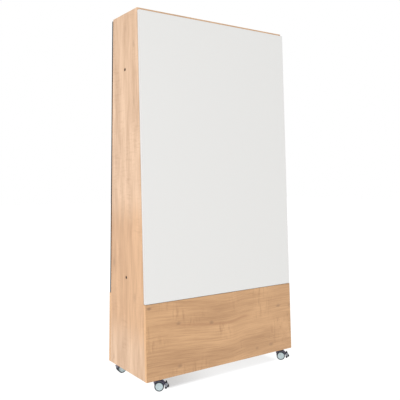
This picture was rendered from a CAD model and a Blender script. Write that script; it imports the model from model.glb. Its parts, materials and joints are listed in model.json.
import json
import math

import bmesh
import bpy
from mathutils import Matrix, Vector


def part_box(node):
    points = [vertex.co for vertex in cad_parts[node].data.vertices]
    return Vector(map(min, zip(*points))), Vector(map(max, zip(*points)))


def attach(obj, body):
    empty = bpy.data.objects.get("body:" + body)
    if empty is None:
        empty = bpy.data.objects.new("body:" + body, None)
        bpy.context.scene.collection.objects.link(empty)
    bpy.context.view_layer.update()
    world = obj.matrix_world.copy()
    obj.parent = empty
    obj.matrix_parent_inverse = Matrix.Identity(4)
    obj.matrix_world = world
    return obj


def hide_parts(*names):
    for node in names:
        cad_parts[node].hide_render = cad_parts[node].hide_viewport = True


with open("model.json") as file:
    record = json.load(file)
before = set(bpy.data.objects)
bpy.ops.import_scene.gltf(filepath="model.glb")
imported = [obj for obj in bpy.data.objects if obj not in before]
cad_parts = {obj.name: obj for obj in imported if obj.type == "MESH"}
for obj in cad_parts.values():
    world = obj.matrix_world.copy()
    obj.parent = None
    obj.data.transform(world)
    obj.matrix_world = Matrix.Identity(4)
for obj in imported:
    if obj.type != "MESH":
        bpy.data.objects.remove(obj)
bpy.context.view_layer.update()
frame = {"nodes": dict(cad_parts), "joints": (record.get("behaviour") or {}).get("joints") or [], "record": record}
nodes = frame["nodes"]


# A value that travels between shader nodes. Sums and products of values add their Math nodes
class Value:
    def __init__(self, shader, socket):
        self.shader = shader
        self.socket = socket

    def math(self, operation, first, second=None):
        return self.shader.node("Math", {"operation": operation}, {0: first, 1: second})

    def __add__(self, other):
        return self.math("ADD", self, other)

    def __radd__(self, other):
        return self.math("ADD", other, self)

    def __sub__(self, other):
        return self.math("SUBTRACT", self, other)

    def __rsub__(self, other):
        return self.math("SUBTRACT", other, self)

    def __mul__(self, other):
        return self.math("MULTIPLY", self, other)

    def __rmul__(self, other):
        return self.math("MULTIPLY", other, self)

    def __truediv__(self, other):
        return self.math("DIVIDE", self, other)

    def __rtruediv__(self, other):
        return self.math("DIVIDE", other, self)

    def root(self):
        return self.math("SQRT", self)

    def size(self):
        return self.math("ABSOLUTE", self)


class Shader:
    def __init__(self, name):
        self.material = bpy.data.materials.new(name)
        self.material.use_nodes = True
        self.tree = self.material.node_tree
        self.tree.nodes.clear()
        self.place = self.node("TexCoord", out="Object")

    def node(self, kind, settings=None, inputs=None, out=0):
        made = self.tree.nodes.new("ShaderNode" + kind)
        for name, setting in (settings or {}).items():
            setattr(made, name, setting)
        for name, value in (inputs or {}).items():
            if isinstance(value, Value):
                self.tree.links.new(value.socket, made.inputs[name])
            elif value is not None:
                made.inputs[name].default_value = value
        return Value(self, made.outputs[out]) if made.outputs else None

    def axes(self):
        parts = self.node("SeparateXYZ", None, {0: self.place})
        outputs = parts.socket.node.outputs
        return [Value(self, outputs[i]) for i in range(3)]

    def vector(self, x, y, z):
        return self.node("CombineXYZ", None, {0: x, 1: y, 2: z})

    def noise(self, place, scale=1, detail=2, roughness=0.5):
        return self.node("TexNoise", None, {
            "Vector": place, "Scale": scale, "Detail": detail, "Roughness": roughness})

    def layer(self, look, along, across, deep):      # noise with its own number of waves each way
        waves = look["waves"]
        return self.noise(self.vector(along * waves[0], across * waves[1], deep * waves[2]),
                          detail=look["detail"], roughness=look["roughness"])

    def step(self, value, low, high):      # 0 below low, 1 above high, and smooth between
        return self.node("MapRange", {"interpolation_type": "SMOOTHSTEP"}, {
            "Value": value, "From Min": low, "From Max": high})

    def mix(self, amount, first, second, blend="MIX"):
        return self.node("Mix", {"data_type": "RGBA", "blend_type": blend}, {
            0: amount, 6: rgba(first), 7: rgba(second)}, 2)

    def bump(self, height, distance, strength):
        return self.node("Bump", None, {
            "Height": height, "Distance": distance, "Strength": strength})

    def surface(self, inputs):
        inputs = {name: rgba(value) for name, value in inputs.items()}
        skin = self.node("BsdfPrincipled", None, inputs)
        self.node("OutputMaterial", None, {"Surface": skin})
        return self.material


def rgba(value):
    return (*value, 1) if isinstance(value, tuple) and len(value) == 3 else value


# The layers of noise that make up a grain. waves is how many to the metre along the grain, across
# it and through the board, before a board's own stretch and breadth. ends are the levels of the
# noise where a layer begins to show and where it shows fully
grain = {
    "drift": {"waves": (1.1, 2.4, 1), "detail": 2, "roughness": 0.5},
    "broad": {"waves": (1, 1, 3), "detail": 2, "roughness": 0.55, "ends": (0.3, 0.7)},
    "streaks": {"waves": (3, 150, 12), "detail": 4, "roughness": 0.7, "ends": (0.3, 0.7)},
    "hair": {"waves": (14, 640, 60), "detail": 2, "roughness": 0.6},
    "pores": {"waves": (60, 1900, 200), "detail": 1, "roughness": 0.5, "ends": (0.62, 0.8)},
    "patch": {"waves": (5, 7, 1), "detail": 1, "roughness": 0.5, "ends": (0.45, 0.7)},
    "fleck": {"waves": (75, 13, 8), "detail": 3, "roughness": 0.6, "ends": (0.45, 0.75),
              "pale": 0.3},
}
# A knot, in its own radii: its length, its push on the grain, and where its dark starts to fade
# and ends
knot = {"length": 1.6, "push": 1.3, "dark": (0.2, 1.5)}
# A glued edge strip in metres: its thickness, its join, and how wide and how dark the glue line is
strip = {"thickness": 0.0006, "join": 0.0001, "seam": 0.0012, "shown": 0.3}


# Timber boards. axes names the object's axis along the grain, across it and through the board
def timber(name, look):
    s = Shader(name)
    byAxis = dict(zip("XYZ", s.axes()))
    along, across, deep = [byAxis[axis] for axis in look["axes"]]
    if "band" in look:        # a strip glued over the sawn edge, with its grain along the edge
        low, high = look["band"]
        join = strip["join"]
        band = s.step(along, high, high + join) + 1 - s.step(along, low - join, low)
        offMiddle = (along - (low + high) / 2).size() - (high - low) / 2
        seam = 1 - s.step(offMiddle, -strip["seam"], join) - band
        along, across = along * (1 - band) + across * band, across * (1 - band) + deep * band
    flow = across + look["seed"]
    if "sweep" in look:        # one long dark line, which the rest of the grain runs beside
        sweep = look["sweep"]
        centre = (sweep["low"] + sweep["left"] * (1 - s.step(along, *sweep["fall"]))
                  + sweep["right"] * s.step(along, *sweep["rise"]))
        offLine = across - centre
        flow = flow - centre * sweep["follow"]
    knotMask = 0
    for knotAlong, knotAcross, radius, depth in look["knots"]:
        stepAlong = (along - knotAlong) / (radius * knot["length"])
        stepAcross = (across - knotAcross) / radius
        reach = stepAlong * stepAlong + stepAcross * stepAcross
        flow = flow + stepAcross * (radius * knot["push"]) / (1 + reach * reach)
        knotMask = knotMask + depth * (1 - s.step(reach.root(), *knot["dark"]))
    flow = flow + s.layer(grain["drift"], along, across, deep) * look["drift"]
    broad = s.layer(grain["broad"], along * look["stretch"], flow * look["breadth"], deep)
    streaks = s.layer(grain["streaks"], along * look["stretch"], flow, deep)
    hair = s.layer(grain["hair"], along, flow, deep)
    pores = s.step(s.layer(grain["pores"], along, flow, deep), *grain["pores"]["ends"])
    patch = s.step(s.layer(grain["patch"], along, across, deep), *grain["patch"]["ends"])
    fleck = s.step(s.layer(grain["fleck"], along, across, deep), *grain["fleck"]["ends"])
    tone = (0.5 + (s.step(broad, *grain["broad"]["ends"]) - 0.5) * look["broad"]
            + (s.step(streaks, *grain["streaks"]["ends"]) - 0.5) * look["streaks"]
            + (hair - 0.5) * look["hair"]
            + patch * (fleck - grain["fleck"]["pale"]) * look["figure"])
    colour = s.mix(tone, look["light"], look["dark"])
    if "blush" in look:        # a warmer stretch of the trunk
        blush = look["blush"]
        away = (along - blush["middle"]).size() + (broad - 0.5) * blush["ragged"]
        warm = 1 - s.step(away, blush["core"], blush["reach"])
        colour = s.mix(warm, colour, blush["tone"], "MULTIPLY")
    if "sweep" in look:
        thread = 1 - s.step(offLine.size() + (streaks - 0.5) * sweep["waver"], *sweep["width"])
        shown = s.step(along, *sweep["appear"]) * (1 - s.step(along, *sweep["fade"]))
        colour = s.mix(thread * (sweep["faint"] + shown) * sweep["depth"], colour, sweep["tone"])
    colour = s.mix(knotMask, colour, look["knotTone"])
    colour = s.mix(pores * look["pores"], colour, look["knotTone"])
    if "band" in look:
        colour = s.mix(seam * strip["shown"], colour, look["knotTone"])
    return s.surface({
        "Base Color": colour,
        "Roughness": look["roughness"] + streaks * look["dryness"],
        "Normal": s.bump((hair + 1 - pores) * 0.5, look["relief"], look["reliefStrength"]),
        "Coat Weight": look["coat"], "Coat Roughness": look["coatRoughness"]})


foil = {
    "knotTone": (0.22, 0.115, 0.055), "roughness": 0.42, "dryness": 0.1, "pores": 0.14,
    "relief": 0.0001, "reliefStrength": 0.4, "coat": 0.35, "coatRoughness": 0.38,
}
cabinetLook = {
    **foil, "axes": "ZYX", "seed": 0.37, "drift": 0.02, "stretch": 2.2, "breadth": 15,
    "light": (0.908, 0.618, 0.400), "dark": (0.562, 0.336, 0.186),
    "broad": 0.62, "streaks": 0.5, "hair": 0.6, "figure": 0.35,
    "knots": [(0.632, 0.142, 0.014, 0.34), (0.473, -0.095, 0.016, 0.22),
              (1.801, -0.100, 0.012, 0.3), (1.502, -0.096, 0.014, 0.2),
              (0.105, 0.155, 0.010, 0.3), (1.897, -0.006, 0.012, 0.2)],
    "blush": {"middle": 0.60, "core": 0.22, "reach": 0.42, "ragged": 0.2,
              "tone": (0.90, 0.79, 0.64)},
}
topLook = {
    **foil, "axes": "XYZ", "seed": 0.8, "drift": 0.02, "stretch": 2, "breadth": 14,
    "light": (0.730, 0.480, 0.285), "dark": (0.500, 0.300, 0.165),
    "broad": 0.5, "streaks": 0.4, "hair": 0.5, "figure": 0.3, "knots": [(0.21, 0.03, 0.01, 0.2)],
}
plainLook = {**topLook, "axes": "XZY", "seed": 0.6, "knots": []}
baseLook = {**plainLook, "axes": "XYZ", "light": (0.34, 0.27, 0.20), "dark": (0.24, 0.19, 0.14)}
coreLook = {**plainLook, "light": (0.52, 0.37, 0.23), "dark": (0.42, 0.29, 0.17)}
beechLook = {**plainLook, "light": (0.72, 0.53, 0.35), "dark": (0.6, 0.42, 0.26)}
boardLook = {
    **foil, "axes": "XZY", "seed": 0.11, "drift": 0.010, "stretch": 1.5, "breadth": 8,
    "light": (0.735, 0.428, 0.206), "dark": (0.452, 0.238, 0.101),
    "broad": 0.5, "streaks": 0.6, "hair": 0.9, "figure": 0.9,
    "knots": [(-0.478, 0.434, 0.008, 0.75), (-0.303, 0.334, 0.009, 0.5),
              (-0.090, 0.307, 0.009, 0.5), (-0.300, 0.112, 0.009, 0.5),
              (0.401, 0.332, 0.010, 0.5), (0.491, 0.323, 0.008, 0.35),
              (0.229, 0.111, 0.007, 0.4), (0.337, 0.115, 0.010, 0.45)],
    "sweep": {"low": 0.290, "left": 0.052, "right": 0.018,
              "fall": (-0.49, 0.04), "rise": (0.04, 0.15),
              "appear": (-0.55, -0.1), "fade": (0.14, 0.2), "depth": 0.42, "faint": 0.1,
              "follow": 0.7, "waver": 0.02, "width": (0.001, 0.013), "tone": (0.40, 0.18, 0.07)},
}
print("timber looks ready")


# The faint drag marks of a cloth, in waves to the metre, and how far they change the roughness
wiping = {"across": 2.5, "up": 7, "lean": 2, "rougher": 0.16}
enamelSkin = {"cloud": 1.7, "shading": 0.5, "peel": 260, "relief": 0.00003, "reliefStrength": 0.3}


# Smooth white enamel
def enamel(name, look):
    s = Shader(name)
    x, y, z = s.axes()
    wiped = s.noise(s.vector(x * wiping["across"], y, z * wiping["up"] + x * wiping["lean"]),
                    detail=4, roughness=0.65)
    cloud = s.noise(s.place, enamelSkin["cloud"])
    peel = s.noise(s.place, enamelSkin["peel"], detail=1)
    return s.surface({
        "Base Color": s.mix(cloud * enamelSkin["shading"], look["colour"], look["shade"]),
        "Roughness": look["roughness"] + (wiped - 0.5) * wiping["rougher"],
        "Normal": s.bump(peel, enamelSkin["relief"], enamelSkin["reliefStrength"]),
        "Specular IOR Level": 0.4})


# What the felt is made of, in waves to the metre, and how much each part shows
nap = {"matted": 900, "tufts": 140, "cloud": 6, "strands": (240, 240, 60), "curl": (6, 4),
       "shares": (0.4, 0.4, 0.2), "ends": (0.35, 0.65), "height": (0.6, 0.4), "relief": 0.0006,
       "reliefStrength": 0.8, "roughness": 0.9, "rougher": 0.1}


# Pressed felt: matted fibres that lie every way
def felt(name, look):
    s = Shader(name)
    x, y, z = s.axes()
    matted = s.noise(s.place, nap["matted"], detail=4, roughness=0.7)
    tufts = s.noise(s.place, nap["tufts"], detail=3, roughness=0.6)
    cloud = s.noise(s.place, nap["cloud"], detail=3, roughness=0.6)
    (wide, thick, tall), (curlWide, curlTall) = nap["strands"], nap["curl"]
    strands = s.noise(s.vector(x * wide + tufts * curlWide, y * thick,
                               z * tall + matted * curlTall))
    ofMatted, ofStrands, ofCloud = nap["shares"]
    tone = s.step(matted * ofMatted + strands * ofStrands + cloud * ofCloud, *nap["ends"])
    rise, lay = nap["height"]
    return s.surface({
        "Base Color": s.mix(tone, look["deep"], look["light"]),
        "Roughness": nap["roughness"] + matted * nap["rougher"],
        "Normal": s.bump(matted * rise + strands * lay, nap["relief"], nap["reliefStrength"]),
        "Sheen Weight": 0.04, "Sheen Roughness": 0.5, "Sheen Tint": (0.5, 0.42, 0.4),
        "Specular IOR Level": 0.1})


# Dust on a moulding: its waves to the metre, and the levels where it starts and where it covers
dust = {"cloud": 22, "ends": (0.35, 0.75), "matt": 0.2, "reliefStrength": 0.5}


# Moulded plastic or rubber with a fine spark-eroded grain and a little dust
def moulded(name, look):
    s = Shader(name)
    texture = s.noise(s.place, look["grain"], detail=3, roughness=0.6)
    cloud = s.noise(s.place, dust["cloud"], detail=3)
    dusted = s.step(cloud, *dust["ends"]) * look["dust"]
    return s.surface({
        "Base Color": s.mix(dusted, look["colour"], look["dusty"]),
        "Roughness": look["roughness"] + (texture - 0.5) * dust["matt"],
        "Normal": s.bump(texture, look["depth"], dust["reliefStrength"]),
        "Specular IOR Level": look.get("gloss", 0.5)})


# Scuffs in waves to the metre, and how much they and the spangle dull the plating
plating = {"scuffs": 300, "dull": 0.2, "cloudy": 0.08, "relief": 0.00002, "reliefStrength": 0.3}


# Zinc-plated steel with the faint spangle of the plating
def zinc(name, look):
    s = Shader(name)
    spangle = s.node("TexVoronoi", None, {"Vector": s.place, "Scale": look["spangle"]}, "Color")
    shade = s.node("RGBToBW", None, {0: spangle})
    scuff = s.noise(s.place, plating["scuffs"], detail=3, roughness=0.6)
    return s.surface({
        "Base Color": s.mix(shade, look["colour"], look["shade"]),
        "Metallic": 1.0,
        "Roughness": (look["roughness"] + (scuff - 0.5) * plating["dull"]
                      + shade * plating["cloudy"]),
        "Normal": s.bump(scuff, plating["relief"], plating["reliefStrength"])})


def banded(look, node, axis):        # adds edge strips on the two ends of a node's box
    low, high = [corner[axis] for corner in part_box(node)]
    return {**look, "band": (low + strip["thickness"], high - strip["thickness"])}


finishes = {
    "cabinet_timber": timber("cabinetTimber", banded(cabinetLook, "side_panel_left", 2)),
    "board_timber": timber("boardTimber", banded(boardLook, "front_lower_board", 0)),
    "rail_timber": timber("railTimber", plainLook),
    "board_core": timber("boardCore", coreLook),
    "beech": timber("beechDowel", beechLook),
    "writing_enamel": enamel("writingEnamel", {
        "colour": (0.672, 0.668, 0.654), "shade": (0.660, 0.656, 0.644), "roughness": 0.40}),
    "backing_steel": enamel("backingPrimer", {
        "colour": (0.52, 0.53, 0.54), "shade": (0.48, 0.49, 0.50), "roughness": 0.5}),
    "edging_plastic": moulded("edgingPlastic", {
        "colour": (0.615, 0.608, 0.598), "dusty": (0.585, 0.575, 0.560),
        "dust": 0.5, "roughness": 0.4, "grain": 1500, "depth": 0.00003}),
    "felt": felt("pinFelt", {"deep": (0.008, 0.006, 0.007), "light": (0.030, 0.022, 0.022)}),
    "bronzed_steel": zinc("bronzedSteel", {
        "colour": (0.020, 0.012, 0.008), "shade": (0.036, 0.022, 0.015),
        "roughness": 0.5, "spangle": 900}),
    "zinc_steel": zinc("zincSteel", {
        "colour": (0.62, 0.62, 0.61), "shade": (0.72, 0.72, 0.72),
        "roughness": 0.3, "spangle": 700}),
    "zinc_casting": zinc("zincCasting", {
        "colour": (0.42, 0.42, 0.42), "shade": (0.50, 0.50, 0.50),
        "roughness": 0.5, "spangle": 1400}),
    "white_nylon": moulded("whiteNylon", {
        "colour": (0.80, 0.80, 0.77), "dusty": (0.74, 0.73, 0.69),
        "dust": 0.5, "roughness": 0.35, "grain": 1200, "depth": 0.00004}),
    "hood_plastic": moulded("hoodPlastic", {
        "colour": (0.082, 0.077, 0.122), "dusty": (0.125, 0.120, 0.165),
        "dust": 0.4, "roughness": 0.38, "grain": 1800, "depth": 0.00006}),
    "wheel_plastic": moulded("wheelPlastic", {
        "colour": (0.425, 0.51, 0.53), "dusty": (0.38, 0.45, 0.475),
        "dust": 0.5, "roughness": 0.34, "grain": 1500, "depth": 0.00002}),
    "tyre_rubber": moulded("tyreRubber", {
        "colour": (0.030, 0.038, 0.046), "dusty": (0.060, 0.070, 0.078),
        "dust": 0.6, "roughness": 0.62, "grain": 900, "depth": 0.00008, "gloss": 0.3}),
    "lever_plastic": moulded("leverPlastic", {
        "colour": (0.20, 0.21, 0.24), "dusty": (0.17, 0.175, 0.20),
        "dust": 0.5, "roughness": 0.42, "grain": 1500, "depth": 0.00005, "gloss": 0.4}),
    "pad_rubber": moulded("padRubber", {
        "colour": (0.004, 0.004, 0.005), "dusty": (0.012, 0.012, 0.014),
        "dust": 0.4, "roughness": 0.7, "grain": 1100, "depth": 0.00008, "gloss": 0.15}),
}
# Two panels share a slot with others, but not their direction of grain or their colour
ownFinishes = {
    "top_panel": timber("topTimber", topLook),
    "bottom_panel": timber("baseTimber", baseLook),
}
record = frame["record"]
slotOf = {part["node"]: part["material_slot"] for part in record["subparts"]}
bodyOf = {node: body for body, members in record["behaviour"]["bodies"].items() for node in members}


def finishOf(node):
    return ownFinishes.get(node, finishes[slotOf[node]])


for node, solid in nodes.items():
    solid.data.materials.clear()
    solid.data.materials.append(finishOf(node))
print("finished", len(nodes), "nodes in", len(finishes) + len(ownFinishes), "materials")


# Turns a bmesh into a piece that stands for one CAD node and rides on that node's body
def stand(name, bm, node):
    mesh = bpy.data.meshes.new(name)
    bm.to_mesh(mesh)
    bm.free()
    mesh.materials.append(finishOf(node))
    made = bpy.data.objects.new(name, mesh)
    bpy.context.scene.collection.objects.link(made)
    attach(made, bodyOf[node])
    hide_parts(node)
    return made


# How near two points of a node's mesh are one point, and how far a flat face may bend
joining = {"near": 0.000004, "flat": math.radians(0.5)}


# A copy of a node's mesh, with its loose triangles joined into whole faces
def wholeFaces(node):
    bm = bmesh.new()
    bm.from_mesh(nodes[node].data)
    bmesh.ops.remove_doubles(bm, verts=bm.verts, dist=joining["near"])
    bmesh.ops.dissolve_limit(bm, angle_limit=joining["flat"], verts=bm.verts, edges=bm.edges)
    return bm


# Boards: the long edges are eased, and the bores keep theirs
longEdge = {"length": 0.1, "angle": math.radians(45)}
boards = {
    "side_panel_left": {"name": "sidePanelLeft", "ease": 0.0008, "steps": 3},
    "side_panel_right": {"name": "sidePanelRight", "ease": 0.0008, "steps": 3},
    "top_panel": {"name": "topPanel", "ease": 0.0005, "steps": 2},
    "front_lower_board": {"name": "frontLowerBoard", "ease": 0.0009, "steps": 3},
    "rear_lower_board": {"name": "rearLowerBoard", "ease": 0.0009, "steps": 3},
    "whiteboard_sheet": {"name": "writingSheet", "ease": 0.0002, "steps": 2},
    "whiteboard_edging": {"name": "writingEdging", "ease": 0.0003, "steps": 2},
    "pinboard_felt": {"name": "pinFelt", "ease": 0.0018, "steps": 4},
}


def makeBoard(node, look):
    bm = wholeFaces(node)
    longEdges = [edge for edge in bm.edges if edge.calc_length() > longEdge["length"]
                 and edge.calc_face_angle(0) > longEdge["angle"]]
    bmesh.ops.bevel(bm, geom=longEdges, offset=look["ease"], segments=look["steps"], profile=0.5,
                    affect="EDGES", material=-1, clamp_overlap=True)
    stand(look["name"], bm, node)


for node, look in boards.items():
    makeBoard(node, look)
print("boards eased")

# Castor mouldings and hardware: every sharp edge gets a small round
mouldings = {
    "castor_hood": {"name": "castorHood", "round": 0.0006, "steps": 3},
    "castor_plate": {"name": "castorPlate", "round": 0.0004, "steps": 2},
    "brake_lever": {"name": "brakeLever", "round": 0.0007, "steps": 3},
    "brake_pads": {"name": "brakePads", "round": 0.0009, "steps": 3},
    "connecting_bolts": {"name": "connectingBolts", "round": 0.0003, "steps": 2},
}
softAngle = math.radians(38)        # edges that turn less than this are shaded smooth


def makeMoulding(node, name, look):
    made = stand(name, wholeFaces(node), node)
    made.data.shade_smooth()
    rounding = made.modifiers.new("rounding", "BEVEL")
    rounding.width = look["round"]
    rounding.segments = look["steps"]
    rounding.limit_method = "ANGLE"
    rounding.angle_limit = softAngle
    rounding.harden_normals = True


for node in sorted(nodes):
    for kind, look in mouldings.items():
        if node.startswith(kind):
            place = node[len(kind):].title().replace("_", "")
            makeMoulding(node, look["name"] + place, look)
print("mouldings rounded")

# Wheels, in metres. bore, boss, hub and hubFoot are distances from the axis, and inside, face and
# socket are distances out along it, from the middle of the axle
wheel = {"steps": 72, "inside": 0.0065, "face": 0.0205, "socket": 0.017,
         "bore": 0.00305, "boss": 0.007, "hub": 0.0074, "hubFoot": 0.0086, "hubDrop": 0.0003,
         "wall": 0.002, "web": 0.004, "lip": 0.0013, "lipSlope": 1.7, "dish": 0.0012,
         "round": 0.0005, "roundSteps": 3}
tyre = {"steps": 72, "inside": 0.0065, "face": 0.0205, "crown": 0.0003, "shoulder": 0.0016,
        "bead": 0.0016, "beadFoot": 0.0012, "groove": 0.0004, "round": 0.0009, "roundSteps": 4}
onePoint = {"axis": 0.00001, "seam": 0.000002}        # how near the axis, and how near each other


# One closed solid from an outline of (distance from the axis, distance along it) points
def spun(outline, centre, axis, look):
    bm = bmesh.new()
    up = Vector((0, 0, 1))
    points = [bm.verts.new(centre + up * radius + axis * out) for radius, out in outline]
    bm.faces.new(points)
    corners = [point for point, place in zip(points, outline) if place[0] > 0]
    bmesh.ops.bevel(bm, geom=corners, offset=look["round"], segments=look["roundSteps"],
                    profile=0.5, affect="VERTICES", material=-1, clamp_overlap=True)
    bmesh.ops.delete(bm, geom=bm.faces[:], context="FACES_ONLY")
    onAxis = [edge for edge in bm.edges if all(
        (vert.co - centre).cross(axis).length < onePoint["axis"] for vert in edge.verts)]
    bmesh.ops.delete(bm, geom=onAxis, context="EDGES")
    bmesh.ops.spin(bm, geom=bm.verts[:] + bm.edges[:], cent=centre, axis=axis, angle=2 * math.pi,
                   steps=look["steps"], use_merge=True)
    bmesh.ops.remove_doubles(bm, verts=bm.verts, dist=onePoint["seam"])
    bmesh.ops.recalc_face_normals(bm, faces=bm.faces)
    return bm


def smoothed(made):
    made.data.shade_smooth()
    made.data.set_sharp_from_angle(angle=softAngle)


def halfHeight(node):
    low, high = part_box(node)
    return (high.z - low.z) / 2


# One wheel of a castor: its core and its tyre, spun about the axle
def makeWheel(side, place, joint):
    coreNode, tyreNode = f"wheel_core_{side}_{place}", f"tyre_{side}_{place}"
    name = side.title() + place.title().replace("_", "")
    centre = Vector(joint["pos_m"])
    axis = Vector(joint["axis"])
    low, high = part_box(coreNode)
    if ((low + high) / 2 - centre).dot(axis) < 0:        # the outlines run out from the castor
        axis = -axis
    rim, tread = halfHeight(coreNode), halfHeight(tyreNode)

    w = wheel
    outer, inner = rim - w["lip"], rim - w["wall"]
    face, back = w["face"], w["face"] - w["web"]
    dished = face - w["dish"]
    core = spun([
        (w["bore"], w["inside"]), (w["boss"], w["inside"]), (w["boss"], back), (inner, back),
        (inner, w["inside"]), (rim, w["inside"]), (rim, face), (outer, face),
        (rim - w["lip"] * w["lipSlope"], dished), (w["hubFoot"], dished),
        (w["hub"], face - w["hubDrop"]), (0, face), (0, w["socket"]), (w["bore"], w["socket"])],
        centre, axis, w)
    smoothed(stand("wheelCore" + name, core, coreNode))

    t = tyre
    inside, face = t["inside"], t["face"]
    crown, shoulder = tread - t["crown"], tread - t["shoulder"]
    groove = face - t["groove"]
    ring = spun([
        (rim, inside), (shoulder, inside), (crown, inside + t["shoulder"]),
        (tread, (inside + face) / 2), (crown, face - t["shoulder"]), (shoulder, face),
        (rim + t["bead"], face), (rim + t["beadFoot"], groove), (rim, groove)],
        centre, axis, t)
    smoothed(stand("tyre" + name, ring, tyreNode))


wheelJoint = "wheel_spin_"
for joint in frame["joints"]:
    if joint["name"].startswith(wheelJoint):
        side, place = joint["name"][len(wheelJoint):].split("_", 1)
        makeWheel(side, place, joint)
print("wheels spun")

# left, right, front and rear are where the shaded strip below the cabinet starts and ends, in
# metres. Its floor is matt by that share, and deeper by so much more at the left of deepEnd
floorLook = {
    "size": 40, "glow": (1.0, 1.0, 1.0), "strength": 1.08, "albedo": (0.84, 0.88, 0.95),
    "matt": 0.27, "deeper": 0.34, "deepEnd": (-0.40, 0.05),
    "left": (-0.40, -0.33), "right": (0.38, 0.46),
    "front": (-0.212, -0.165), "rear": (0.160, 0.195),
}


# A white floor that gives off light. Only the strip below the cabinet is matt, and takes its shade
def makeFloor(look):
    mesh = bpy.data.meshes.new("floor")
    bm = bmesh.new()
    bmesh.ops.create_grid(bm, x_segments=1, y_segments=1, size=look["size"] / 2)
    bm.to_mesh(mesh)
    bm.free()
    floor = bpy.data.objects.new("floor", mesh)
    bpy.context.scene.collection.objects.link(floor)
    s = Shader("floorWhite")
    x, y = s.axes()[:2]
    beneath = (s.step(x, *look["left"]) * (1 - s.step(x, *look["right"]))
               * s.step(y, *look["front"]) * (1 - s.step(y, *look["rear"])))
    shaded = beneath * (look["matt"] + look["deeper"] * (1 - s.step(x, *look["deepEnd"])))
    matt = s.node("BsdfDiffuse", None, {"Color": rgba(look["albedo"])})
    glow = s.node("Emission", None, {"Color": rgba(look["glow"]), "Strength": look["strength"]})
    both = s.node("MixShader", None, {0: shaded, 1: glow, 2: matt})
    s.node("OutputMaterial", None, {"Surface": both})
    mesh.materials.append(s.material)


# Plain white light all round, and three large square lamps
studio = {
    "world": 1.0,
    "lamps": {
        "rim": {"at": (-3.6, 5.6, 0.6), "aim": (-0.5, 0, 0.6), "size": 4.0, "power": 25},
        "key": {"at": (-4.6, -1.6, 0.9), "aim": (-0.5, 0, 0.9), "size": 2.6, "power": 74},
        "front": {"at": (-0.8, -5.6, 1.5), "aim": (0, 0, 1.0), "size": 4.0, "power": 32},
    },
}


def makeLights(look):
    world = bpy.data.worlds.new("studio")
    world.use_nodes = True
    sky = world.node_tree.nodes["Background"]
    sky.inputs["Color"].default_value = rgba((1, 1, 1))
    sky.inputs["Strength"].default_value = look["world"]
    bpy.context.scene.world = world
    for name, lampLook in look["lamps"].items():
        lamp = bpy.data.lights.new(name, "AREA")
        lamp.size = lampLook["size"]
        lamp.energy = lampLook["power"]
        holder = bpy.data.objects.new(name, lamp)
        holder.location = lampLook["at"]
        aim = Vector(lampLook["aim"]) - Vector(lampLook["at"])
        holder.rotation_euler = aim.to_track_quat("-Z", "Y").to_euler()
        bpy.context.scene.collection.objects.link(holder)
    bpy.context.scene.view_settings.view_transform = "Standard"


# Angles in degrees, lens and sensor in millimetres
eye = {"at": (-1.8656, -2.6658, 1.0954), "heading": 34.77, "pitch": 0.07, "roll": -0.37,
       "lens": 49.88, "sensor": 36, "shift": -0.056}


def makeCamera(look):
    lens = bpy.data.cameras.new("eye")
    lens.sensor_width = look["sensor"]
    lens.lens = look["lens"]
    lens.shift_y = look["shift"]
    camera = bpy.data.objects.new("eye", lens)
    camera.matrix_world = (
        Matrix.Translation(look["at"])
        @ Matrix.Rotation(math.radians(-look["heading"]), 4, "Z")
        @ Matrix.Rotation(math.radians(90 + look["pitch"]), 4, "X")
        @ Matrix.Rotation(math.radians(look["roll"]), 4, "Z"))
    bpy.context.scene.collection.objects.link(camera)
    bpy.context.scene.camera = camera


makeFloor(floorLook)
makeLights(studio)
makeCamera(eye)
print("stage ready")
